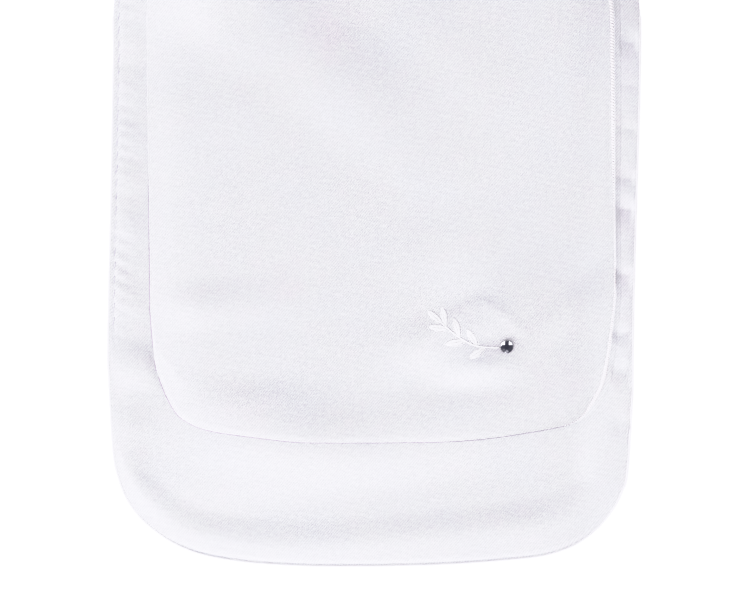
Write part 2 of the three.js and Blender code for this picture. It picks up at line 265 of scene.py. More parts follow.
# Soft folds: centre, half length along the fold, half width across it, turn from +X, and height
sharedFolds = [
    (-20, 141, 116, 21, -37, 1.09),
    (-51, 161, 36, 25, 221, 1.88),
    (71, 62, 120, 18, 92, 2.40),
    (-4, 32, 93, 16, 8, 2.09),
    (-33, 38, 42, 16, -2, 2.06),
    (69, 129, 105, 38, 65, 2.29),
    (61, 154, 120, 38, -52, 2.40),
]
frontFolds = [
    (-67, 67, 118, 18, 89, 2.20),
    (-43, 169, 74, 18, 102, 0.93),
    (25, 88, 30, 15, 26, 0.57),
    (34, 135, 52, 36, -56, 1.50),
    (33, 74, 23, 24, 73, 0.96),
    (20, 63, 27, 10, 24, 1.50),
    (-80, 68, 79, 9, 5, 1.29),
    (17, 118, 24, 18, -16, -0.29),
    (-39, 141, 56, 22, 8, -0.86),
    (80, 91, 81, 7, 39, 2.14),
    (-37, 151, 12, 13, 195, -0.59),
    (28, 55, 21, 9, 4, 1.65),
]

# Creases pinched across the right margin by its seam: place, length above and below it, and depth
rightCreases = [
    (142.8, 6.5, 9.0, 0.75),
    (131.0, 3.5, 5.5, 0.25),
    (119.0, 4.5, 4.5, 0.4),
    (105.5, 7.0, 4.5, 0.6),
    (97.3, 5.2, 8.5, 0.95),
    (79.5, 5.0, 8.5, 0.9),
    (63.3, 4.5, 5.0, 0.8),
    (53.4, 5.5, 8.0, 0.85),
    (38.5, 6.0, 7.0, 0.5),
]

# Swells along the left margin: place, half length and height
leftSwells = [
    (142.5, 6, 0.24),
    (130.7, 7, 0.24),
    (116.7, 6, 0.22),
    (106, 5.2, 0.26),
    (93.6, 7.2, 0.42),
    (73, 6.5, 0.3),
    (54.6, 8, 0.95),
    (38, 6, 0.3),
]


def smooth(low, high, value):
    # Nought at low and one at high, which may be the smaller
    t = np.clip((value - low) / (high - low), 0, 1)
    return t * t * (3 - 2 * t)


def between(low, high, share):
    return low + (high - low) * share


def bump(q, power=2):
    # One in the middle, nought beyond one on either side
    return np.where(np.abs(q) < 1, (1 - np.minimum(1, q * q)) ** power, 0)


def softBump(q):
    return bump(q, 3)


def together(*parts):
    # One array of points from the arrays of their coordinates
    return np.stack(np.broadcast_arrays(*parts), -1)


def readTable(table, column, at):
    # One column of a table on a smooth curve through its rows
    places, values = np.array(table["at"], float), np.array(table[column], float)
    last = len(places) - 1
    order = np.arange(last + 1)
    before, after = np.maximum(order - 1, 0), np.minimum(order + 1, last)
    slopes = (values[after] - values[before]) / (places[after] - places[before])
    k = np.clip(np.searchsorted(places, at, side="right") - 1, 0, last - 1)
    span = places[k + 1] - places[k]
    t = np.clip((at - places[k]) / span, 0, 1)
    rise = values[k] + (values[k + 1] - values[k]) * t * t * (3 - 2 * t)
    return rise + span * (t * (1 - t) ** 2 * slopes[k] + t * t * (t - 1) * slopes[k + 1])


def bySide(table, x, at):
    return np.where(x < 0, readTable(table, "left", at), readTable(table, "right", at))


def sagitta(x):
    return cut["bandHalfY"] * (1 - np.sqrt(1 - np.minimum(0.7, np.abs(x) / cut["bandHalfX"]) ** 2))


def tailPoint(x, at, lift):
    # A point at a height above what the tails lie on, which is the table and then the band
    radius = cut["bendRadius"]
    turned = np.clip((at - straightLength) / radius, 0, math.pi / 2)
    risen = np.maximum(0, at - straightLength - bendLength)
    along = np.minimum(at, straightLength) + radius * np.sin(turned)
    follow = sagitta(x) * smooth(straightLength - 60, straightLength, at)
    y = lowerEndY + along + follow - lift * np.sin(turned)
    z = radius * (1 - np.cos(turned)) + risen + lift * np.cos(turned)
    return together(x, y, z)


def foldsAt(table, x, at):
    total = 0.0
    for foldX, foldAt, reach, spread, turnDegrees, high in table:
        turn = math.radians(turnDegrees)
        along = (x - foldX) * math.cos(turn) + (at - foldAt) * math.sin(turn)
        across = (at - foldAt) * math.cos(turn) - (x - foldX) * math.sin(turn)
        total = total + high * softBump(along / reach) * softBump(across / spread)
    return total


def pleatsAt(x, at):
    share = x / bySide(backWidths, x, at)
    wave = 1 - np.cos(math.pi * cut["pleatCount"] * (share + 1))
    return cut["pleatHeight"] / 2 * wave * pleatedShare(at)


def edgeDistance(tail, x, at):
    # How far a place is from the tail's side, and from the nearer of its side and its rounded lower edge
    half = bySide(tail["widths"], x, at)
    share = np.clip(np.abs(x) / half, 0, 1)
    under = bySide(tail["lowerEdge"], x, share)
    before = bySide(tail["lowerEdge"], x, np.maximum(0, share - 0.02))
    steep = (under - before) / (0.02 * half)
    fromEnd = np.maximum(0, at - tail["start"] - under) / np.hypot(1, steep)
    fromSide = np.maximum(0, half - np.abs(x))
    return fromSide, np.minimum(fromSide, fromEnd)


def rimOf(distance, radius):
    return np.sqrt(np.clip(1 - (1 - np.minimum(1, distance / radius)) ** 2, 0, 1))


def rimAt(tail, x, at, fromEdge):
    # Share of the wall's thickness at a distance from the edge: a round rim, then a taper to full.
    # The tables give it below and above, first on the left, then on the right
    upper, toRight = smooth(72, 104, at), smooth(10, 56, x)
    sides = [[between(*pair, upper) for pair in tail[key]] for key in ("rimShare", "taper")]
    share, taper = (between(*side, toRight) for side in sides)
    thin = 1 - (1 - np.minimum(1, fromEdge / taper)) ** 2
    return share * rimOf(fromEdge, tail["rimRadius"]) + (1 - share) * thin


def within(value, start, full, fade, end):
    # Rises from start to full, and falls from fade to end
    return smooth(start, full, value) * (1 - smooth(fade, end, value))


def pleatedShare(at):
    return smooth(cut["pleatStart"], cut["pleatFull"], at)


def softAt(x, at):
    return pleatsAt(x, at) + foldsAt(sharedFolds, x, at)


lowerShares = np.linspace(0, 1, 401)


def outsideFront(x, at):
    # How far a place lies outside the front tail's outline, with a minus inside it
    half, rise, across = bySide(frontWidths, x, at), at - cut["frontTailStart"], np.abs(x)
    up = np.where(across < half, bySide(frontLowerEdge, x, np.minimum(1, across / half)) - rise, 1e6)
    rises = [readTable(frontLowerEdge, side, lowerShares) for side in ("left", "right")]
    left, right = (np.interp(rise, side, lowerShares) for side in rises)
    aside = np.where(rise > 0, across - half * np.where(x < 0, left, right), 1e6)
    apart = np.abs(aside * up) / (np.hypot(aside, up) + 1e-9)
    return np.where((aside < 0) | (up < 0), -apart, apart)


# Back tail: hem ridge inside its edge, the left side seam with its ripples, pinches on the right
backTail = {
    "widths": backWidths,
    "lowerEdge": backLowerEdge,
    "start": 0.0,
    "easeOver": 130.0,
    "columnStep": 1.3,
    "rowStep": 0.68,
    "upperRowStep": 2.2,
    "rimShare": [(0.8, 0.8), (0.8, 0.8)],
    "rimRadius": 0.1,
    "taper": [(1.6, 1.6), (1.6, 1.6)],
    "hemCrest": (5.8, 9.0),
    "hemFoot": (13.1, 16.8),
    "hemLift": (0.66, 0.9),
    "sideHemLift": 0.1,
    "creaseInset": 0.75,
    "creaseDip": 0.29,
    "creaseReach": 0.85,
    "creaseEnd": (10.0, 20.0),
    "seamInset": 1.5,
    "seamDip": 0.24,
    "stitchLength": 3.7,
    "rippleLift": 0.11,
    "rippleReach": (0.9, 2.2, 2.2, 8.0),
    "swellInset": (4.6, 7.6),
    "swellReach": (5.6, 10.6),
    "seamReach": 0.75,
    "marginDip": 0.08,
    "marginReach": 3.2,
    "edgeDip": 0.04,
    "edgeStretch": (44, 52, 96, 106),
    "edgeReach": 1.5,
}


def pinchAt(x, at):
    # How much the right margin's upper face sinks, into its creases and along the front tail
    fromSide, _ = edgeDistance(backTail, x, at)
    sunk = 0.0
    for place, above, below, depth in rightCreases:
        away = at - place
        share = np.minimum(1, np.where(away > 0, away / above, -away / below))
        sunk = np.maximum(sunk, depth * (1 - share) ** 2)
    sunk = sunk * smooth(6.6, 3.4, fromSide) * smooth(0, 1.6, fromSide) * smooth(26, 42, at)
    away = np.clip(outsideFront(x, at) / backTail["marginReach"], 0, 1)
    dip = backTail["marginDip"] * (1 - (1 - away) ** 2) * smooth(34, 60, at)
    return np.maximum(sunk, dip) * (x > 0) * (1 - smooth(150, 170, at))


def backLift(x, at):
    tail = backTail
    fromSide, fromEdge = edgeDistance(tail, x, at)
    still, toRight = 1 - pleatedShare(at), smooth(-30, 45, x)
    hem = ("hemCrest", "hemFoot", "hemLift", "creaseEnd")
    crest, foot, high, creaseEnd = (between(*tail[key], toRight) for key in hem)
    strength = between(high, tail["sideHemLift"], smooth(20, 50, at))
    ridge = within(fromEdge, 0, crest, crest, foot)
    lift = cut["tailThick"] / 2 + softAt(x, at) + still * strength * ridge
    # the lower edge's pressed crease
    pressed = 1 - smooth(3, creaseEnd, at)
    lift = lift - tail["creaseDip"] * pressed * bump((fromEdge - tail["creaseInset"]) / tail["creaseReach"])
    # the left margin sinks along the front tail and swells in places
    low = 1 - smooth(58, 76, at)
    beside = smooth(0, tail["edgeReach"], outsideFront(x, at))
    edge = (1 - beside) * smooth(-40, -55, x) * within(at, *tail["edgeStretch"])
    lift = lift - tail["edgeDip"] * edge
    swell = bump((fromSide - between(*tail["swellInset"], low)) / between(*tail["swellReach"], low))
    for place, reach, height in leftSwells:
        lift = lift + height * swell * beside * (x < 0) * bump((at - place) / reach)
    # the left seam draws in at each stitch, and ripples lean away from it
    stitch = 2 * math.pi * (at + 0.9 * np.sin(at / 9)) / tail["stitchLength"]
    lean = 2 * math.pi * fromSide / 9
    onSeam = (x < 0) * smooth(57, 68, at) * still
    fade = within(fromSide, *tail["rippleReach"])
    drawn = 0.65 + 0.35 * np.sin(at / 6.1 + 1)
    lift = lift + tail["rippleLift"] * onSeam * fade * drawn * (1 + np.cos(stitch + lean))
    seam = bump((fromSide - tail["seamInset"]) / tail["seamReach"]) * onSeam * (0.7 + 0.3 * np.cos(stitch))
    return lift - tail["seamDip"] * seam - pinchAt(x, at) / 2


# Front tail: edges that thin out to the left and below, a groove beside the rolled seam on the right
frontTail = {
    "widths": frontWidths,
    "lowerEdge": frontLowerEdge,
    "start": cut["frontTailStart"],
    "easeOver": 95.0,
    "columnStep": 1.1,
    "rowStep": 0.9,
    "upperRowStep": 2.0,
    "rimShare": [(0.3, 0.24), (0.1, 0.24)],
    "rimRadius": 0.05,
    "taper": [(18.0, 22.0), (36.0, 28.0)],
    "foldInset": 14.0,
    "foldEase": 0.3,
    "hollow": -0.3,
    "hollowEase": 0.12,
    "edgeRoll": (0.16, 0.07),
    "rollReach": 1.5,
    "gapLeft": 0.1,
    "gapInset": 12.0,
    "ease": 0.25,
    "grooveInset": 1.6,
    "grooveDip": 0.08,
    "grooveReach": 0.9,
    "grooveStretch": (94, 102, 124, 132),
}

# Puckered zone round the sprig: a soft ridge that arches over it, and a shallow valley under it
motifZone = {
    "x": 29.0,
    "at": 59.6,
    "halfWidth": 14.0,
    "above": 12.2,
    "corner": 1.4,
    "ridge": (0.22, 0.15),
    "outside": 2.4,
    "inside": 3.4,
    "valley": 0.12,
    "valleyAt": 56.8,
    "valleyReach": 2.2,
    "pull": 0.05,
    "pullCount": 11,
}


def motifZoneLift(x, at):
    zone = motifZone
    wide, tall, corner = zone["halfWidth"], zone["above"], zone["corner"]
    across, up = np.abs(x - zone["x"]) / wide, (at - zone["at"]) / tall
    reach = (across**corner + np.maximum(0, up) ** corner + 1e-9) ** (1 / corner)
    outward = (reach - 1) * between(tall, wide, across / (across + np.maximum(0.01, up)))
    falling = np.where(outward > 0, smooth(0, zone["outside"], outward), smooth(0, zone["inside"], -outward))
    high = between(*zone["ridge"], smooth(0, 10, x - zone["x"]))
    ridge = high * (1 - falling) * smooth(0, 0.4, up)
    valley = zone["valley"] * bump((at - zone["valleyAt"]) / zone["valleyReach"]) * bump(across / 1.1)
    turn = np.arctan2(at - zone["at"] - 4, x - zone["x"])
    pull = zone["pull"] * np.sin(zone["pullCount"] * turn) * bump((outward + 1.5) / 5)
    return ridge - valley + pull * bump(across / 1.3) * smooth(-0.4, 0, up)


def rollAt(x, at):
    # How much the front tail's upper face sinks, at its turned edge and into the groove by its seam
    tail = frontTail
    fromSide, fromEdge = edgeDistance(tail, x, at)
    dip = between(*tail["edgeRoll"], smooth(60, 110, at))
    rolled = dip * (1 - smooth(0, tail["rollReach"], fromEdge)) * (1 - smooth(20, 60, x))
    groove = tail["grooveDip"] * bump((fromSide - tail["grooveInset"]) / tail["grooveReach"]) * (x > 0)
    groove = groove * within(at, *tail["grooveStretch"])
    return (rolled + groove) * (1 - pleatedShare(at))


def frontLift(x, at):
    tail = frontTail
    reach = 0.5
    slopeX = (softAt(x + reach, at) - softAt(x - reach, at)) / (2 * reach)
    slopeY = (softAt(x, at + reach) - softAt(x, at - reach)) / (2 * reach)
    pleated = pleatedShare(at)
    _, fromEdge = edgeDistance(tail, x, at)
    # the lower face stays just above the back tail as the wall thins out
    gap = between(tail["gapLeft"], cut["layerGap"] + tail["ease"], smooth(0, tail["gapInset"], fromEdge))
    gap = between(gap, cut["layerGap"] + cut["pleatEase"], pleated)
    clear = (cut["tailThick"] + gap) * np.sqrt(1 + slopeX**2 + slopeY**2)
    thinned = (1 - rimAt(tail, x, at, fromEdge)) * cut["tailThick"] / 2
    # hollows between the folds level out before they reach the back tail
    own = foldsAt(frontFolds, x, at) + tail["foldEase"]
    own = tail["hollow"] + tail["hollowEase"] * np.logaddexp(0, (own - tail["hollow"]) / tail["hollowEase"])
    own = own * smooth(0, tail["foldInset"], fromEdge) + motifZoneLift(x, at)
    own = (own - thinned) * (1 - pleated) - rollAt(x, at) / 2
    return cut["tailThick"] / 2 + softAt(x, at) + clear + own


backTail.update({"lift": backLift, "sunk": pinchAt})
frontTail.update({"lift": frontLift, "sunk": rollAt})


def halfWall(tail, x, at, top=math.inf):
    # Half the wall's thickness, which also rounds off towards a top edge
    fromEdge = np.minimum(edgeDistance(tail, x, at)[1], top - at)
    half = rimAt(tail, x, at, fromEdge) * cut["tailThick"] / 2
    return np.maximum(half - tail["sunk"](x, at) / 2, 0.1 * half)


# Pink tint painted where the cloth lies in shade: place, half width and half length, and strength
shadeTintPatches = [
    (-13, 146, 14, 17, 0.75),
    (-25, 77, 12, 8, 0.7),
    (-37, 42, 20, 9, 0.6),
    (50, 49, 13, 10, 0.55),
    (68, 74, 5, 14, 0.7),
    (68, 98, 5, 14, 0.7),
    (68, 134, 5, 16, 0.8),
]
shadeTintedPieces = ("backTail", "frontTail")

# Distances from an edge at which a grid's rows stand closer
fineSteps = (0.0, 0.05, 0.16, 0.34, 0.6, 0.95, 1.4, 2.0, 2.8, 3.8)


def shadeTintAt(x, at):
    total = 0.0
    for middle, place, wide, tall, strength in shadeTintPatches:
        total = total + strength * softBump((x - middle) / wide) * softBump((at - place) / tall)
    return total


def toFrame(points):
    return (points + frameShift) * 0.001


def newMesh(name, points, faces, uv=None, isSmooth=True):
    # Points in millimetres of the tables; uv in metres of cloth
    mesh = bpy.data.meshes.new(name)
    mesh.from_pydata(toFrame(np.asarray(points, float)).tolist(), [], faces)
    if uv is not None:
        corners = np.empty(len(mesh.loops), int)
        mesh.loops.foreach_get("vertex_index", corners)
        layer = mesh.uv_layers.new(name="cloth")
        layer.data.foreach_set("uv", np.asarray(uv, float)[corners].ravel())
        if name in shadeTintedPieces:
            # the pink tint painted where the cloth lies in shade, stored on the points
            paintedShadeTint = mesh.attributes.new("paintedShadeTint", "FLOAT", "POINT")
            paintedShadeTint.data.foreach_set("value", shadeTintAt(uv[:, 0] * 1000, uv[:, 1] * 1000))
    if isSmooth:
        mesh.shade_smooth()
    return mesh


def newPiece(mesh, material, slotName, *nodes):
    piece = bpy.data.objects.new(mesh.name, mesh)
    bpy.context.collection.objects.link(piece)
    mesh.materials.append(material)
    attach(piece, "root")
    if nodes:
        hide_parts(*nodes)
    return piece


def wallMesh(name, middle, half, uv, normal=None):
    # A wall about a grid of points, its two faces meeting along the border, where half is nought
    rows, columns = middle.shape[:2]
    if normal is None:
        normal = np.cross(np.gradient(middle, axis=1), np.gradient(middle, axis=0))
    normal = normal / np.linalg.norm(normal, axis=-1, keepdims=True)
    top, under = middle + normal * half[..., None], middle - normal * half[..., None]
    number = np.arange(rows * columns).reshape(rows, columns)
    inner = np.zeros((rows, columns), bool)
    inner[1:-1, 1:-1] = True
    underNumber = number.copy()
    underNumber[inner] = rows * columns + np.arange(inner.sum())
    points = np.concatenate([top.reshape(-1, 3), under[inner]])
    places = np.concatenate([uv.reshape(-1, 2), uv[inner]])
    quad = lambda n: np.stack([n[:-1, :-1], n[:-1, 1:], n[1:, 1:], n[1:, :-1]], -1).reshape(-1, 4)
    faces = np.concatenate([quad(number), quad(underNumber)[:, ::-1]])
    return newMesh(name, points, faces.tolist(), places * 0.001)


def thinBorder(values):
    values[[0, -1]] = 0
    values[:, [0, -1]] = 0
    return values


def spacing(length, coarse, fine=fineSteps):
    # Places along a length that crowd together at both of its ends
    count = max(2, round((length - 2 * fine[-1]) / coarse))
    middle = np.linspace(fine[-1], length - fine[-1], count + 1)[1:-1]
    return np.concatenate([fine, middle, length - np.array(fine)[::-1]])


def tailWall(name, tail):
    # Rows stand closer where the cloth lies flat and its details show
    share = spacing(145.0, tail["columnStep"]) / 72.5 - 1
    length, lying = tailLength - tail["start"], cut["lyingRows"] - tail["start"]
    flat, steps = int(lying / tail["rowStep"]), int((length - lying) / tail["upperRowStep"])
    shown, inset = flat * tail["rowStep"], fineSteps[-1]
    middle = [np.linspace(inset, shown, flat)[1:], np.linspace(shown, length - inset, steps)[1:-1]]
    row = np.concatenate([fineSteps, *middle, length - np.array(fineSteps)[::-1]])[:, None]
    ease = (1 - np.minimum(1, row / tail["easeOver"])) ** 2
    edge = bySide(tail["lowerEdge"], share, np.abs(share))
    at = np.minimum(tail["start"] + row + edge * ease, tailLength)
    x = share * bySide(tail["widths"], share, at)

    def laid(aside, up):
        return tailPoint(x + aside, at + up, tail["lift"](x + aside, at + up))

    reach = 0.05
    sideways, along = laid(reach, 0) - laid(-reach, 0), laid(0, reach) - laid(0, -reach)
    half = thinBorder(halfWall(tail, x, at, tailLength))
    return wallMesh(name, laid(0, 0), half, together(x, at), np.cross(sideways, along))


# Satin twill: slanted wales with finer cross threads, slubs and faint patches of pink and lilac; the weave's
# grooves are painted darker as shade, and a pink tint is painted where the cloth lies in shade.
# Waves have a width, turn and distortion, noises a scale, detail and stretch, and both a share of the depth
satinLook = {
    "white": (0.845, 0.843, 0.870),
    # valley: colour of the weave's grooves, partly the weave's pattern and partly painted shade
    "valley": (0.737, 0.732, 0.769),
    "pink": (0.864, 0.822, 0.876),
    "lilac": (0.826, 0.834, 0.893),
    "waves": [(0.566, 40.0, 0.6, 1.0), (0.27, 102.0, 0.4, 0.3), (1.63, 103.0, 1.6, 0.15)],
    "noises": [(520, 2.0, (0.12, 1, 1), 0.3), (3100, 1.0, (1, 1, 1), 2.0), (1300, 2.0, (0.6, 1, 1), 1.4)],
    "bumpHeight": 0.04,
    "roughness": 0.55,
    "sheen": 0.1,
    "glow": 0.4,
    "glowDepth": 0.4,
}


def mixColor(tree, first, second, share):
    mix = newNode(tree, "ShaderNodeMix", {"Factor": share}, data_type="RGBA")
    colors = [number for number, socket in enumerate(mix.inputs) if socket.type == "RGBA"]
    feed(tree, mix, dict(zip(colors, (first, second))))
    return [socket for socket in mix.outputs if socket.type == "RGBA"][0]


def mathOf(tree, operation, *values, clamp=False):
    return outputOf(tree, "ShaderNodeMath", dict(enumerate(values)), operation=operation, use_clamp=clamp)


def noiseOf(tree, place, scale, detail=2.0, stretch=(1, 1, 1)):
    moved = outputOf(tree, "ShaderNodeMapping", {"Vector": place, "Scale": stretch})
    return outputOf(tree, "ShaderNodeTexNoise", {"Vector": moved, "Scale": scale, "Detail": detail}, "Fac")


def waveOf(tree, place, width, turn, distortion):
    # Straight bands of a width in millimetres: the wave texture has 20 of them in 2 pi
    turned = outputOf(tree, "ShaderNodeMapping", {"Vector": place, "Rotation": (0, 0, math.radians(turn))})
    inputs = {"Vector": turned, "Scale": 2 * math.pi / 20 / (width * 0.001), "Distortion": distortion}
    return outputOf(tree, "ShaderNodeTexWave", {**inputs, "Detail": 1.0, "Detail Scale": 0.35}, "Fac")


def bumpOf(tree, height, distance, strength):
    return outputOf(tree, "ShaderNodeBump", {"Strength": strength, "Distance": distance, "Height": height})


def satinFinish(tree, place, look):
    uv = place["UV"]
    relief = [(waveOf(tree, uv, *wave), share) for *wave, share in look["waves"]]
    relief += [(noiseOf(tree, uv, *noise), share) for *noise, share in look["noises"]]
    patch = noiseOf(tree, uv, 210, 3.0)
    drift = noiseOf(tree, uv, 55, 2.0)
    # pink comes partly from random patches and partly from the tint painted where the cloth lies in shade
    paintedShadeTint = outputOf(tree, "ShaderNodeAttribute", {}, "Fac", attribute_name="paintedShadeTint")
    pinkShare = mathOf(tree, "MULTIPLY_ADD", mathOf(tree, "SUBTRACT", patch, 0.44), 2.2, paintedShadeTint, clamp=True)
    lilacShare = mathOf(tree, "MULTIPLY", mathOf(tree, "SUBTRACT", drift, 0.4), 2.2, clamp=True)
    tint = mixColor(tree, look["white"], look["pink"], pinkShare)
    tint = mixColor(tree, tint, look["lilac"], lilacShare)
    depth = 0.5
    for part, share in relief:
        depth = mathOf(tree, "MULTIPLY_ADD", mathOf(tree, "SUBTRACT", part, 0.5), share, depth)
    depth.node.use_clamp = True
    return {
        # the grooves of the relief get the valley colour: painted shade in the weave, beside its real bump
        "Base Color": mixColor(tree, tint, look["valley"], depth),
        "Roughness": mathOf(tree, "MULTIPLY_ADD", depth, 0.2, look["roughness"]),
        "Normal": bumpOf(tree, mathOf(tree, "MULTIPLY", depth, -1.0), look["bumpHeight"] * 0.001, 0.6),
        "Specular IOR Level": 0.3,
        "Sheen Weight": look["sheen"],
        "Sheen Roughness": 0.4,
        "Subsurface Weight": look["glow"],
        "Subsurface Radius": (1.0, 1.0, 1.0),
        "Subsurface Scale": look["glowDepth"] * 0.001,
    }


threadLook = {"color": (0.91, 0.89, 0.925), "dark": (0.83, 0.80, 0.84), "roughness": 0.42, "sheen": 0.1}
# Thread of the left seam's stitches, painted darker as the shade of the sunk seam
shadedStitchLook = {"color": (0.76, 0.75, 0.81), "dark": (0.68, 0.66, 0.74), "roughness": 0.5, "sheen": 0.1}
motifLook = {"color": (0.945, 0.94, 0.97), "dark": (0.89, 0.875, 0.91), "roughness": 0.5, "sheen": 0.1}


def threadFinish(tree, place, look):
    # Spun thread: fine noise along its run, read on Object coordinates
    fibre = noiseOf(tree, place["Object"], 5200, 2.0)
    patch = noiseOf(tree, place["Object"], 240, 1.0)
    share = mathOf(tree, "MULTIPLY_ADD", fibre, 0.6, mathOf(tree, "MULTIPLY", patch, 0.4))
    return {
        "Base Color": mixColor(tree, look["color"], look["dark"], share),
        "Roughness": mathOf(tree, "MULTIPLY_ADD", fibre, 0.2, look["roughness"]),
        "Normal": bumpOf(tree, fibre, 0.00003, 0.5),
        "Sheen Weight": look["sheen"],
    }


satin = newMaterial("satinTwill", satinFinish, satinLook)
seamThread = newMaterial("seamThread", threadFinish, threadLook)
shadedStitchThread = newMaterial("shadedStitchThread", threadFinish, shadedStitchLook)
motifThread = newMaterial("motifThread", threadFinish, motifLook)
print("finishes: satin twill and threads")

backPiece = newPiece(tailWall("backTail", backTail), satin, "satin", "back_tail")
frontPiece = newPiece(tailWall("frontTail", frontTail), satin, "satin", "front_tail")
print("tails:", len(backPiece.data.polygons), len(frontPiece.data.polygons), "faces")


# Geometry Nodes: threads grown along runs, and the closure's hooks
def nodeGroup(name, inputs):
    # A group and its inputs, which are named by kind
    tree = bpy.data.node_groups.new(name, "GeometryNodeTree")
    for kind, names in inputs.items():
        for socketName in names:
            tree.interface.new_socket(socketName, in_out="INPUT", socket_type="NodeSocket" + kind)
    tree.interface.new_socket("grown", in_out="OUTPUT", socket_type="NodeSocketGeometry")
    return tree, newNode(tree, "NodeGroupInput", {}).outputs


def chanceOf(tree, reach, seed):
    # A random number for each point, from minus reach to reach
    chance = newNode(tree, "FunctionNodeRandomValue", {"Seed": seed}, data_type="FLOAT")
    floats = [number for number, socket in enumerate(chance.inputs) if socket.type == "VALUE"]
    feed(tree, chance, dict(zip(floats, (-reach, reach))))
    return [socket for socket in chance.outputs if socket.type == "VALUE"][0]


def placeCopies(tree, points, copy, angle, finish, scale=(1, 1, 1)):
    # Copies on points, each turned about Z, made real and given their finish
    euler = outputOf(tree, "ShaderNodeCombineXYZ", {"Z": angle})
    turn = outputOf(tree, "FunctionNodeEulerToRotation", {0: euler})
    inputs = {"Points": points, "Instance": copy, "Rotation": turn, "Scale": scale}
    placed = outputOf(tree, "GeometryNodeInstanceOnPoints", inputs)
    real = outputOf(tree, "GeometryNodeRealizeInstances", {0: placed})
    made = outputOf(tree, "GeometryNodeSetMaterial", {"Geometry": real, "Material": finish})
    newNode(tree, "NodeGroupOutput", {0: made})


def grownBy(tree, mesh, values):
    # Points and faces that a group grows from a mesh
    carrier = bpy.data.objects.new("carrier", mesh)
    bpy.context.collection.objects.link(carrier)
    modifier = carrier.modifiers.new("grow", "NODES")
    modifier.node_group = tree
    for item in tree.interface.items_tree:
        if item.name in values:
            modifier[item.identifier] = values[item.name]
    evaluated = carrier.evaluated_get(bpy.context.evaluated_depsgraph_get())
    grown = bpy.data.meshes.new_from_object(evaluated)
    carrier.modifiers.clear()
    bpy.data.objects.remove(carrier)
    coordinates = np.empty(len(grown.vertices) * 3)
    grown.vertices.foreach_get("co", coordinates)
    faces = [tuple(face.vertices) for face in grown.polygons]
    bpy.data.meshes.remove(grown)
    return coordinates.reshape(-1, 3), faces


# Threads, ribs and stitches are grown along runs in the flat cloth, then laid on it
def threadTree():
    floats = ("spacing", "length", "width", "height", "turn", "shift", "wobble")
    inputs = {"Geometry": ["runs"], "Float": floats, "Int": ["seed"], "Material": ["finish"]}
    tree, given = nodeGroup("laidThreads", inputs)

    def plain(operation, *values):
        return mathOf(tree, operation, *values)

    curve = outputOf(tree, "GeometryNodeMeshToCurve", {0: given["runs"]})
    spaced = {"Curve": curve, "Length": given["spacing"]}
    points = newNode(tree, "GeometryNodeCurveToPoints", spaced, mode="LENGTH").outputs
    way = newNode(tree, "ShaderNodeSeparateXYZ", {0: points["Tangent"]}).outputs
    run = plain("ADD", plain("ARCTAN2", way["Y"], way["X"]), given["turn"])
    angle = plain("ADD", run, plain("MULTIPLY", chanceOf(tree, 1.0, given["seed"]), given["wobble"]))
    length = plain("MULTIPLY", outputOf(tree, "GeometryNodeInputRadius", {}), given["length"])
    aside = plain("MULTIPLY", length, given["shift"])
    offset = {"X": plain("MULTIPLY", aside, plain("COSINE", angle))}
    offset["Y"] = plain("MULTIPLY", aside, plain("SINE", angle))
    moved = {"Geometry": points["Points"], "Offset": outputOf(tree, "ShaderNodeCombineXYZ", offset)}
    ball = outputOf(tree, "GeometryNodeMeshUVSphere", {"Segments": 8, "Rings": 5, "Radius": 0.5}, "Mesh")
    soft = outputOf(tree, "GeometryNodeSetShadeSmooth", {0: ball})
    scale = outputOf(tree, "ShaderNodeCombineXYZ", {"X": length, "Y": given["width"], "Z": given["height"]})
    placeCopies(tree, outputOf(tree, "GeometryNodeSetPosition", moved), soft, angle, given["finish"], scale)
    return tree


laidThreads = threadTree()


def growThreads(runs, stitch, material, seed, shift=0.0):
    # Runs are lists of (x, along, height, share of the length); gives points and faces in the flat cloth.
    # A stitch is a row of spacing, length, width, height, turn from its run, and how far that turn varies
    points, edges = [], []
    for run in runs:
        first = len(points)
        points += [tuple(row) for row in run]
        edges += [(k, k + 1) for k in range(first, len(points) - 1)]
    mesh = bpy.data.meshes.new("runs")
    mesh.from_pydata([row[:3] for row in points], edges, [])
    radius = mesh.attributes.new("radius", "FLOAT", "POINT")
    radius.data.foreach_set("value", [row[3] for row in points])
    values = dict(zip(("spacing", "length", "width", "height"), stitch))
    values.update(turn=math.radians(stitch[4]), wobble=math.radians(stitch[5]), shift=shift)
    return grownBy(laidThreads, mesh, dict(values, seed=seed, finish=material))


def joined(*parts):
    # One list of points and faces from several
    points, faces, count = [], [], 0
    for partPoints, partFaces in parts:
        points.append(partPoints)
        faces += [tuple(count + k for k in face) for face in partFaces]
        count += len(partPoints)
    return np.concatenate(points), faces


def sweep(path, radii, flatness=1.0, sides=10):
    # A closed roll along a path in the flat cloth; its ends shrink to a point
    step = np.gradient(path, axis=0)
    aside = np.stack([step[:, 1], -step[:, 0], np.zeros(len(path))], 1)
    aside /= np.linalg.norm(aside, axis=1, keepdims=True)
    rings = []
    for k in range(sides):
        turn = 2 * math.pi * k / sides
        ring = path + aside * (radii * math.cos(turn))[:, None]
        ring[:, 2] += radii * flatness * math.sin(turn)
        rings.append(ring)
    last = len(path) - 1
    faces = []
    for low in range(0, last * sides, sides):
        for k in range(sides):
            n = (k + 1) % sides
            faces.append((low + k, low + n, low + sides + n, low + sides + k))
    faces.append(tuple(range(sides))[::-1])
    faces.append(tuple(last * sides + k for k in range(sides)))
    return np.stack(rings, 1).reshape(-1, 3), faces


def onTail(tail, points, fromFace=1.0):
    # Lays flat points on a tail; heights count from its face, or from its middle with fromFace nought
    x, at, height = points.T
    return tailPoint(x, at, tail["lift"](x, at) + fromFace * cut["tailThick"] / 2 + height)


def inwardOf(path):
    # The way into the tail from each point of its outline
    tangent = np.gradient(path, axis=0)
    tangent /= np.linalg.norm(tangent, axis=1, keepdims=True)
    return np.stack([-tangent[:, 1], tangent[:, 0]], 1)


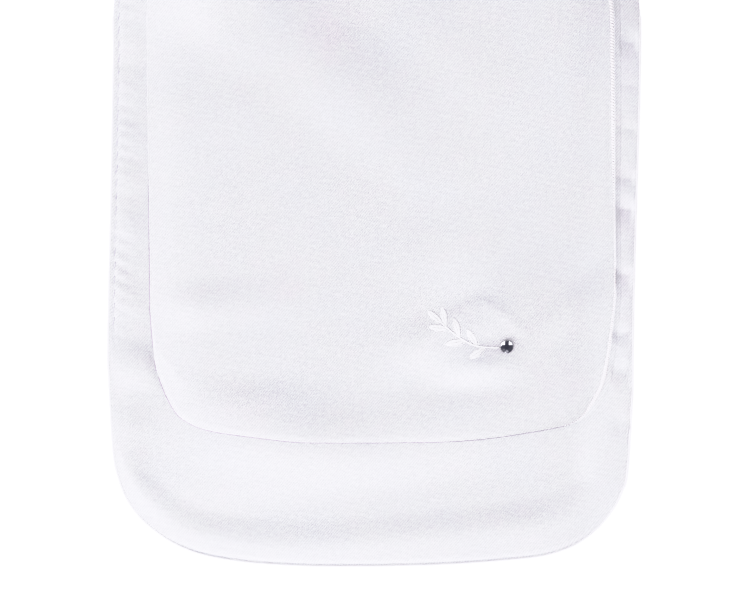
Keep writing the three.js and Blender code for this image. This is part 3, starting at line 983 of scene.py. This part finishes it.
def outline(tail, inset, step, top):
    # The tail's outline a little inside its edge, from the upper left round the lower edge to the upper right
    widths, bottom = tail["widths"], np.linspace(-1, 1, 1201)
    rise = tail["start"] + bySide(tail["lowerEdge"], bottom, np.abs(bottom))
    sideLeft, sideRight = np.linspace(top, rise[0], 200)[:-1], np.linspace(rise[-1], top, 200)[1:]
    left, right = -readTable(widths, "left", sideLeft), readTable(widths, "right", sideRight)
    x = np.concatenate([left, bottom * bySide(widths, bottom, rise), right])
    at = np.concatenate([sideLeft, rise, sideRight])
    length = np.concatenate([[0], np.cumsum(np.hypot(np.diff(x), np.diff(at)))])
    even = np.linspace(0, length[-1], int(length[-1] / step))
    path = np.stack([np.interp(even, length, x), np.interp(even, length, at)], 1)
    return path + inwardOf(path) * inset


# Overcast seam of the front tail: a flat ribbed roll up the right side, full above and tight below
seamRoll = {
    "at": [34, 39, 44, 52, 60, 75, 98, 122, 250],
    "radius": [0.16, 0.16, 0.56, 0.62, 0.5, 0.34, 0.36, 0.64, 0.64],
    "flatness": [0.36, 0.36, 0.46, 0.46, 0.38, 0.28, 0.3, 0.38, 0.38],
    "lowerRadius": 0.16,
    "sunk": 0.08,
    "ribHeight": 0.6,
    "stretches": [
        (121.0, 240.0, (0.79, 2.25, 0.7, 0.4, 60.0, 3.0)),
        (98.0, 121.0, (0.72, 2.1, 0.64, 0.36, 66.0, 3.0)),
        (38.5, 98.0, (0.58, 1.9, 0.54, 0.28, 78.0, 3.0)),
    ],
}


def rolledSeam():
    path = outline(frontTail, seamRoll["lowerRadius"], 0.4, straightLength + 6)
    x, at = path.T
    low = seamRoll["lowerRadius"]
    radii = low + (readTable(seamRoll, "radius", at) - low) * smooth(44, 52, x)
    keep = (x > -46) & (at < cut["frontTailStart"] + 20) | (x > 30)
    path, radii, at = path[keep], radii[keep], at[keep]
    # the roll's outer side stays on the tail's outline, and it lies on the back tail
    path = path + inwardOf(path) * (radii - low)[:, None]
    flatness = readTable(seamRoll, "flatness", at)
    height = np.maximum(radii * flatness - halfWall(frontTail, *path.T) - seamRoll["sunk"], 0)
    core = radii.copy()
    core[[0, -1]] = 0.01
    parts = [sweep(np.column_stack([path, height]), core, flatness)]
    for number, (start, end, stitch) in enumerate(seamRoll["stretches"]):
        part = (path[:, 0] > 30) & (at >= start) & (at < end)
        run = np.column_stack([path, height + radii * flatness * seamRoll["ribHeight"], radii])[part]
        parts.append(growThreads([run], stitch, seamThread, 3 + number))
    points, faces = joined(*parts)
    return newMesh("rolledSeam", onTail(frontTail, points, 0.0), faces)


newPiece(rolledSeam(), seamThread, "satin")

# Slim edges: a dark cord outside the front tail as its painted edge shadow, the allowance beside its seam in
# satin painted lighter, and the back tail's edge
# A slim cord just outside the front tail's edge, painted dark: painted shadow under the edge
edgeShadowCord = {
    "x": [-80, -42, -15, 10, 40, 60],
    "radius": [0.16, 0.16, 0.09, 0.08, 0.04, 0.04],
    "at": [0, 78, 108, 300],
    "fade": [1, 1, 0.02, 0.02],
    "outside": 0.12,
    "flatness": 0.25,
    "height": 0.03,
    "top": 108.0,
}
# the cord's dark colour is the painted shadow
edgeShadowLook = {"color": (0.66, 0.62, 0.69), "dark": (0.56, 0.51, 0.60), "roughness": 0.6, "sheen": 0.1}
allowance = {
    "at": [30, 38.5, 44, 98, 122, 200, 222, 300],
    "height": [0.01, 0.01, 0.3, 0.46, 0.42, 0.4, 0.01, 0.01],
    "reach": [0.1, 0.1, 0.85, 0.85, 1, 1, 0.1, 0.1],
    "inside": (-0.5, -0.3),
    "outside": 2.1,
    "dive": 0.16,
    "top": 224.0,
}
# The allowance's satin, without its subsurface glow and with lighter tints: painted light that lifts the
# slope out of its shade
slopeLookPaintedLighter = dict(satinLook, glow=0.0, pink=(0.905, 0.862, 0.91), lilac=(0.865, 0.872, 0.935))
backEdge = {"inside": 0.1, "radius": 0.3, "flatness": 0.28, "sunk": 0.05, "top": 150.0}
backEdgeLook = {"color": (0.905, 0.893, 0.93), "dark": (0.875, 0.863, 0.903), "roughness": 0.6, "sheen": 0.1}


def edgeShadowLine():
    path = outline(frontTail, -edgeShadowCord["outside"], 0.5, edgeShadowCord["top"])
    path = path[path[:, 0] < 52]
    x, at = path.T
    radii = np.interp(x, edgeShadowCord["x"], edgeShadowCord["radius"]) * np.interp(at, edgeShadowCord["at"], edgeShadowCord["fade"])
    height = np.full(len(path), edgeShadowCord["height"])
    points, faces = sweep(np.column_stack([path, height]), radii, edgeShadowCord["flatness"], 8)
    return newMesh("edgeShadowLine", onTail(backTail, points), faces)


def seamAllowance():
    # A low slope of cloth beside the rolled seam, steepest where it leaves it
    path = outline(frontTail, 0.0, 0.6, allowance["top"])
    path = path[(path[:, 0] > 44) & (path[:, 1] > 38.5)]
    outside = np.linspace(0, 1, 12) ** 1.4 * allowance["outside"]
    across = np.concatenate([allowance["inside"], outside])
    share = across / allowance["outside"]
    columns = (allowance["reach"], allowance["height"])
    reach, tall = (np.interp(path[:, 1], allowance["at"], column)[:, None] for column in columns)
    flat = path[:, None] - inwardOf(path)[:, None] * across[:, None] * reach[..., None]
    tall = thinBorder(tall * (1 - np.clip(share, 0, 1)) ** 2)
    x, at = flat[..., 0], flat[..., 1]
    dive = allowance["dive"] * smooth(0.65, 1, share) + pinchAt(x, at) / 2
    middle = tailPoint(x, at, backLift(x, at) + cut["tailThick"] / 2 + 0.01 - dive + tall / 2)
    upright = np.zeros(middle.shape)
    upright[..., 2] = 1
    return wallMesh("seamAllowance", middle, tall / 2, flat, upright)


def backEdgeCord():
    path = outline(backTail, backEdge["inside"], 0.5, backEdge["top"])
    radii = np.full(len(path), backEdge["radius"])
    radii[[0, -1]] = 0.01
    # it lies on the wall's rim, as high as the wall is under its inner side
    wall = halfWall(backTail, *(path + inwardOf(path) * backEdge["radius"]).T) - backEdge["sunk"]
    points, faces = sweep(np.column_stack([path, wall]), radii, backEdge["flatness"], 8)
    return newMesh("backEdge", onTail(backTail, points, 0.0), faces)


newPiece(edgeShadowLine(), newMaterial("edgeShadowSatin", threadFinish, edgeShadowLook), "satin")
newPiece(seamAllowance(), newMaterial("slopeTwillPaintedLighter", satinFinish, slopeLookPaintedLighter), "satin")
newPiece(backEdgeCord(), newMaterial("edgeSatin", threadFinish, backEdgeLook), "satin")

# Stitches of the back tail's left seam, in thread painted darker as the shade where the thread draws in
sideStitches = {"inset": 1.5, "from": 66, "height": 0.02, "stitch": (3.7, 2.7, 0.3, 0.2, -9.0, 4.0)}


def stitchesOnTail():
    path = outline(backTail, sideStitches["inset"], 1.0, straightLength)
    path = path[(path[:, 0] < 0) & (path[:, 1] > sideStitches["from"])]
    run = np.column_stack([path, np.full(len(path), sideStitches["height"]), np.ones(len(path))])
    points, faces = growThreads([run], sideStitches["stitch"], shadedStitchThread, 5)
    return newMesh("sideStitches", onTail(backTail, points), faces)


newPiece(stitchesOnTail(), shadedStitchThread, "satin")
print("seams: rolled seam and side stitches")

# Embroidered sprig: stem stitch and leaves of slanted satin stitch, measured from the stone's centre
sprig = {
    "stem": [(-2.6, -0.2), (-8.5, 0.4), (-13.5, 3.0), (-17.5, 6.4)],
    "leaves": [(0.2, 42), (0.3, -46), (0.52, 40), (0.62, -42), (0.84, 36), (0.9, -38), (0.99, 0)],
    "leafLength": 5.2,
    "leafHalfWidth": 1.02,
    "stemStitch": (0.42, 1.5, 0.34, 0.13, 13.0, 3.0),
    "leftStitch": (0.18, 1.0, 0.25, 0.1, 48.0, 4.0),
    "rightStitch": (0.18, 1.0, 0.25, 0.1, -48.0, 4.0),
    "leafShift": 0.41,
    "outlineStitch": (0.5, 0.8, 0.24, 0.07, 0.0, 3.0),
}


def splineAt(points, share):
    # Point and direction on a smooth curve through the stem's points
    points = np.array(points, float)
    place = share * (len(points) - 1)
    k = min(int(place), len(points) - 2)
    t = place - k
    p0, p1, p2, p3 = (points[min(max(k + i, 0), len(points) - 1)] for i in (-1, 0, 1, 2))
    v0, v1 = (p2 - p0) / 2, (p3 - p1) / 2
    bend = 2 * p1 - 2 * p2 + v0 + v1
    lean = -3 * p1 + 3 * p2 - 2 * v0 - v1
    point = bend * t**3 + lean * t**2 + v0 * t + p1
    slope = 3 * bend * t**2 + 2 * lean * t + v0
    return point, slope / np.linalg.norm(slope)


def embroidered():
    centre = np.array([cut["stoneX"], cut["stoneAt"]])
    stemRun = [(*(centre + splineAt(sprig["stem"], k / 40)[0]), 0.03, 1.0) for k in range(41)]
    parts = [growThreads([stemRun], sprig["stemStitch"], motifThread, 7)]
    veins, outlines = [], []
    for along, turnDegrees in sprig["leaves"]:
        root, way = splineAt(sprig["stem"], along)
        turn = math.atan2(way[1], way[0]) + math.radians(turnDegrees)
        axis = np.array([math.cos(turn), math.sin(turn)])
        aside = np.array([-axis[1], axis[0]])
        vein, edges = [], {1: [], -1: []}
        for k in range(13):
            share = k / 12
            width = sprig["leafHalfWidth"] * math.sin(math.pi * share**0.8) ** 0.8
            point = centre + root + axis * (share * sprig["leafLength"])
            vein.append((*point, 0.02 + 0.03 * math.sin(math.pi * share), max(0.12, width) * 1.4))
            for side in (1, -1):
                edges[side].append((*(point + aside * side * (width + 0.08)), 0.0, 1.0))
        veins.append(vein)
        outlines += [edges[1], edges[-1]]
    parts.append(growThreads(veins, sprig["leftStitch"], motifThread, 12, sprig["leafShift"]))
    parts.append(growThreads(veins, sprig["rightStitch"], motifThread, 10, sprig["leafShift"]))
    parts.append(growThreads(outlines, sprig["outlineStitch"], motifThread, 17))
    points, faces = joined(*parts)
    return newMesh("embroideredSprig", onTail(frontTail, points), faces)


sprigPiece = newPiece(embroidered(), motifThread, "thread", "embroidery")
print("embroidery:", len(sprigPiece.data.polygons), "faces")

# Stone: flat-backed cut glass, its table ringed by kite and girdle facets, on a foil; its reflections are
# painted, some facets bright and glowing as painted highlights, the rest painted dark
stone = {
    "radius": 1.7,
    "height": 0.8,
    "facets": 8,
    "backShare": 0.97,
    "girdleShare": 0.3,
    "waistShare": (0.79, 0.72),
    "tableShare": 0.44,
    "above": 0.05,
}
# dark and the highlight colour are painted reflections; glow makes the highlighted facets shine by themselves
stoneLook = {
    "dark": (0.012, 0.014, 0.035),
    "paintedHighlight": (0.93, 0.94, 1.0),
    "roughness": 0.12,
    "glow": 0.7,
    "paintedFlashes": [(138, 40, 3.0), (42, 32, 3.0), (258, 22, 0.5)],
}


def paintedFacetShine(polygon):
    # Strength of the painted highlight on a facet, by the way that it faces; the table and the sides get none
    x, y, z = polygon.normal
    if z > 0.935 or z < 0.1:
        return 0.0
    turn = math.degrees(math.atan2(y, x)) % 360
    shines = []
    for way, reach, share in stoneLook["paintedFlashes"]:
        apart = abs((turn - way + 180) % 360 - 180)
        shines.append(share * max(0, 1 - apart / reach))
    return max(shines)


def cutStone():
    count, tall = stone["facets"], stone["height"]
    x, at = cut["stoneX"], cut["stoneAt"]
    base = tailPoint(x, at, float(frontLift(x, at)) + cut["tailThick"] / 2 + stone["above"])

    def ring(share, height, shift, number):
        turns = [2 * math.pi * (k + shift) / number for k in range(number)]
        radius = stone["radius"] * share
        return [base + np.array([radius * math.cos(t), radius * math.sin(t), height]) for t in turns]

    waist, waistRise = stone["waistShare"]
    points = ring(stone["backShare"], 0.0, 0, 2 * count)
    points += ring(1.0, tall * stone["girdleShare"], 0, 2 * count)
    points += ring(waist, tall * waistRise, 0.5, count)
    points += ring(stone["tableShare"], tall, 0, count)
    g, w, t = 2 * count, 4 * count, 5 * count
    faces = [tuple(range(2 * count))[::-1], tuple(t + k for k in range(count))]
    for k in range(2 * count):
        n = (k + 1) % (2 * count)
        faces.append((k, n, g + n, g + k))
    for k in range(count):
        n = (k + 1) % count
        a, m, b = g + 2 * k, g + 2 * k + 1, g + (2 * k + 2) % (2 * count)
        faces += [(a, m, w + k), (m, b, w + k)]
        faces += [(w + k, t + n, t + k), (b, w + n, t + n, w + k)]
    mesh = newMesh("cutStone", points, faces, isSmooth=False)
    paintedShine = mesh.attributes.new("paintedFacetShine", "FLOAT", "FACE")
    paintedShine.data.foreach_set("value", [paintedFacetShine(polygon) for polygon in mesh.polygons])
    return mesh


def stoneFinish(tree, place, look):
    # Foil-backed glass with painted reflections: facets painted bright and glowing among facets painted dark
    paintedShine = outputOf(tree, "ShaderNodeAttribute", {}, "Fac", attribute_name="paintedFacetShine")
    scratches = noiseOf(tree, place["Object"], 900, 2.0)
    share = mathOf(tree, "MULTIPLY_ADD", scratches, 0.06, paintedShine, clamp=True)
    return {
        "Base Color": mixColor(tree, look["dark"], look["paintedHighlight"], share),
        "Emission Color": mixColor(tree, (0.0, 0.0, 0.0), look["paintedHighlight"], share),
        "Emission Strength": look["glow"],
        "Roughness": mathOf(tree, "MULTIPLY_ADD", scratches, 0.05, look["roughness"]),
        "Specular IOR Level": 0.35,
    }


newPiece(cutStone(), newMaterial("foiledGlassPaintedFlashes", stoneFinish, stoneLook), "crystal", "crystal")
print("stone: cut and foiled")

# Neck band: a stiffened ring whose ends overlap behind, topstitched along both edges
closureOffset = cut["bandThick"] / 2 + cut["layerGap"] + cut["closureThick"] / 2
innerEndOffset = closureOffset * 2
overlapAngle = cut["bandOverlap"] / 2 / cut["bandHalfX"]
bandFrom, bandTo = -overlapAngle, 2 * math.pi + overlapAngle
band = {
    "meanRadius": 62.0,
    "edgeRadius": 1.0,
    "stitchInset": 3.0,
    "grooveDepth": 0.24,
    "grooveReach": 0.8,
    "stitch": (3.1, 2.3, 0.38, 0.26, 0.0, 2.0),
}
bandLength = (bandTo - bandFrom) * band["meanRadius"]


def bandPoint(angle, inward, z):
    wide, deep = (cut[key] - cut["bandThick"] / 2 - inward for key in ("bandHalfX", "bandHalfY"))
    return together(wide * np.sin(angle), bandCentreY + deep * np.cos(angle), z)


def movedIn(angle):
    moveTo = bandTo - 2.2 * overlapAngle
    return innerEndOffset * smooth(moveTo - 0.9, moveTo, angle)


def stripEdge(along, length, z, height):
    # How far a place on a strip is from the nearest of its four edges
    return np.minimum(np.minimum(z, height - z), np.minimum(along, length - along))


def bandWall():
    along = spacing(bandLength, 1.9)
    z = spacing(cut["bandHeight"], 1.5)[:, None]
    angle = bandFrom + along / band["meanRadius"]
    fromEdge = stripEdge(along, bandLength, z, cut["bandHeight"])
    groove = band["grooveDepth"] * bump((fromEdge - band["stitchInset"]) / band["grooveReach"])
    rim = rimOf(fromEdge, band["edgeRadius"]) * (1 - groove - 0.1 * smooth(3, 9, fromEdge))
    middle = bandPoint(angle, movedIn(angle), z)
    return wallMesh("neckBand", middle, rim * cut["bandThick"] / 2, together(along, z))


def bandStitches():
    inset = band["stitchInset"]
    length, height = bandLength - inset, cut["bandHeight"] - inset
    runs = [[(a, z, 0.0, 1.0) for a in np.arange(inset, length, 1.0)] for z in (inset, height)]
    runs += [[(a, z, 0.0, 1.0) for z in np.arange(inset, height, 1.0)] for a in (inset, length)]
    points, faces = growThreads(runs, band["stitch"], seamThread, 23)
    along, z, height = points.T
    angle = bandFrom + along / band["meanRadius"]
    face = cut["bandThick"] / 2 * (1 - band["grooveDepth"]) + height
    outside, inside = (bandPoint(angle, movedIn(angle) + side * face, z) for side in (-1, 1))
    points, faces = joined((outside, [face[::-1] for face in faces]), (inside, faces))
    return newMesh("bandStitches", points, faces)


bandPiece = newPiece(bandWall(), satin, "satin", "neck_band")
bandStitchPiece = newPiece(bandStitches(), seamThread, "satin")
print("neck band:", len(bandPiece.data.polygons), "faces")

# Knot: the cover is wound cloth, so soft slanting folds run over it and lap each other
knot = {
    "wall": 1.3,
    "rim": 0.65,
    "lowZ": 12.0,
    "shoulderZ": 33.0,
    "highZ": 43.3,
    "halfLow": 27.0,
    "halfHigh": 29.5,
    "ease": 1.6,
    "seamGap": 0.6,
    "squareness": 0.72,
    "crown": 1.4,
    "foldDepth": 0.75,
    "foldRise": 11.0,
    "foldSlant": 52.0,
    "fineDepth": 0.22,
    "fineRise": 4.3,
    "fineSlant": 31,
    "columns": 121,
    "columnCrowd": 0.92,
    "flatHalf": 34.0,
    "flatCrown": 17.0,
}
knotDepth = 2 * cut["tailThick"] + cut["pleatHeight"] + cut["pleatEase"] + knot["ease"] + knot["wall"] / 2


def lappedFold(phase):
    # Rises slowly and drops at the lap
    part = phase - np.floor(phase)
    rising, falling = part / 0.8 * math.pi / 2, (part - 0.8) / 0.2 * math.pi / 2
    return np.where(part < 0.8, np.sin(rising), np.cos(falling)) - 0.55


def squared(part):
    # How far across and how far out a squarish quarter circle has come
    turn = part * math.pi / 2
    return np.sin(turn) ** knot["squareness"], np.maximum(0, np.cos(turn)) ** knot["squareness"]


def knotPoint(share, rise, turn):
    domeAcross, domeOut = squared(turn)
    sideAcross, sideOut = squared(np.abs(share))
    z = between(knot["lowZ"], knot["shoulderZ"], rise) + (knot["highZ"] - knot["shoulderZ"]) * domeAcross
    half = between(knot["halfLow"], knot["halfHigh"], rise) - 2 * domeAcross
    x = np.sign(share) * half * between(sideAcross, np.abs(share), domeAcross**3)
    wave = lappedFold(z / knot["foldRise"] + x / knot["foldSlant"] + 0.12 * np.sin(x / 11))
    fine = np.sin(2 * math.pi * (z / knot["fineRise"] + x / knot["fineSlant"])) * np.cos(x / 9)
    folds = knot["foldDepth"] * (wave + knot["fineDepth"] * fine)
    crown = knot["crown"] * np.sin(math.pi * (0.15 + 0.7 * rise)) + folds
    out = knot["seamGap"] + (knotDepth + crown * (1 - share**2)) * sideOut * domeOut
    return together(x, faceY + sagitta(x) - out, z)


def knotWall():
    crowd = math.pi / 2 * knot["columnCrowd"]
    share = np.sin(np.linspace(-1, 1, knot["columns"]) * crowd) / math.sin(crowd)
    rise = np.concatenate([[0, 0.003, 0.012, 0.026], np.linspace(0.045, 1, 46)])
    turn = np.linspace(0, 1, 31)[1:]
    rises = np.concatenate([rise, np.ones(len(turn))])[:, None]
    turns = np.concatenate([np.zeros(len(rise)), turn])[:, None]
    middle = knotPoint(share, rises, turns)
    height = rises * (knot["shoulderZ"] - knot["lowZ"])
    rim = thinBorder(rimOf(height, knot["rim"]) * np.ones(middle.shape[:2]))
    flat = together(share * knot["flatHalf"], height + turns * knot["flatCrown"])
    return wallMesh("knotCover", middle, rim * knot["wall"] / 2, flat)


knotPiece = newPiece(knotWall(), satin, "satin", "knot")
print("knot:", len(knotPiece.data.polygons), "faces")

# Closure strip: woven tape with a field of small hooks on its outer face
closure = {
    "pitch": 1.15,
    "hookHeight": 0.26,
    "hookRadius": 0.06,
    "hookFree": 2.4,
    "edgeRadius": 0.3,
    "edgeSteps": (0.0, 0.1, 0.3, 0.6, 1.0),
}
tapeLook = {"color": (0.83, 0.83, 0.84), "dark": (0.68, 0.68, 0.70), "roughness": 0.85, "sheen": 0.3}


def tapeFinish(tree, place, look):
    uv = place["UV"]
    weave = mathOf(tree, "MULTIPLY", waveOf(tree, uv, 0.9, 0.0, 0.2), waveOf(tree, uv, 0.7, 90.0, 0.2))
    fuzz = noiseOf(tree, uv, 1800, 3.0)
    share = mathOf(tree, "MULTIPLY_ADD", fuzz, 0.6, mathOf(tree, "MULTIPLY", weave, 0.4))
    return {
        "Base Color": mixColor(tree, look["color"], look["dark"], share),
        "Normal": bumpOf(tree, mathOf(tree, "ADD", weave, fuzz), 0.0001, 0.7),
        "Roughness": look["roughness"],
        "Sheen Weight": look["sheen"],
    }


def hookTree():
    floats = ("length", "width", "pitch", "hookHeight", "hookRadius")
    tree, given = nodeGroup("hookField", {"Float": floats, "Material": ["finish"]})
    sizes = {"Size X": given["length"], "Size Y": given["width"]}
    for size, count in (("length", "Vertices X"), ("width", "Vertices Y")):
        sizes[count] = mathOf(tree, "ROUND", mathOf(tree, "DIVIDE", given[size], given["pitch"]))
    grid = outputOf(tree, "GeometryNodeMeshGrid", sizes, "Mesh")
    bow = {"Resolution": 6, "Start Angle": 0.0, "Sweep Angle": math.radians(250)}
    bow["Radius"] = mathOf(tree, "MULTIPLY", given["hookHeight"], 0.5)
    upright = {"Geometry": outputOf(tree, "GeometryNodeCurveArc", bow), "Rotation": (math.pi / 2, 0, 0)}
    thin = {"Resolution": 4, "Radius": given["hookRadius"]}
    wire = {"Curve": outputOf(tree, "GeometryNodeTransform", upright), "Fill Caps": True}
    wire["Profile Curve"] = outputOf(tree, "GeometryNodeCurvePrimitiveCircle", thin)
    hook = outputOf(tree, "GeometryNodeCurveToMesh", wire)
    placeCopies(tree, grid, hook, chanceOf(tree, 0.6, 31), given["finish"])
    return tree


def hookField(material):
    mesh = bpy.data.meshes.new("field")
    mesh.from_pydata([(0, 0, 0)], [], [])
    length, width = (cut[key] - closure["hookFree"] for key in ("closureLength", "closureHeight"))
    points, faces = grownBy(hookTree(), mesh, dict(closure, length=length, width=width, finish=material))
    across, z, height = points.T
    outward = cut["closureThick"] / 2 + closure["hookHeight"] * 0.35
    points = bandPoint(across / cut["bandHalfX"], closureOffset - outward - height, cut["bandHeight"] / 2 + z)
    return newMesh("closureHooks", points, [face[::-1] for face in faces])


def closureTape():
    length, height = cut["closureLength"], cut["closureHeight"]
    along, z = spacing(length, 1.5, closure["edgeSteps"]), spacing(height, 1.5, closure["edgeSteps"])[:, None]
    angle = (along - length / 2) / cut["bandHalfX"]
    middle = bandPoint(angle, closureOffset, cut["bandHeight"] / 2 - height / 2 + z)
    half = rimOf(stripEdge(along, length, z, height), closure["edgeRadius"]) * cut["closureThick"] / 2
    return wallMesh("closureTape", middle, half, together(along, z))


tape = newMaterial("wovenTape", tapeFinish, tapeLook)
newPiece(closureTape(), tape, "tape", "closure_strip")
hookPiece = newPiece(hookField(tape), tape, "tape")
print("closure: tape and", len(hookPiece.data.polygons), "faces of hooks")
